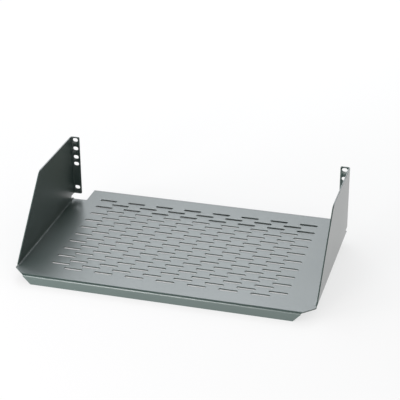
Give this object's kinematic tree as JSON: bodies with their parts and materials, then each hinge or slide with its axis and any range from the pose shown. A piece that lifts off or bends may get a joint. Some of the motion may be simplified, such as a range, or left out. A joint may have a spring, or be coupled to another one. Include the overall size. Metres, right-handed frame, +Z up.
{
  "type": "rack shelf",
  "caption": "Vented cantilever rack shelf folded from one painted steel sheet: slotted deck, lips folded down front and rear, sloped side gussets and flanges that bolt to rack posts.",
  "frame": {"origin": "Middle of the width and of the depth, on the surface that the lower edges of the two lips stand on.", "axes": "+X to the right seen from the front, +Y to the rear, towards the rack posts, and +Z up. The front lip faces -Y."},
  "size_m": [0.4826, 0.3166, 0.1315],
  "materials": {
    "powder_coat": "satin"
  },
  "bodies": {
    "root": {"rack_shelf": "powder_coat"}
  },
  "joints": []
}
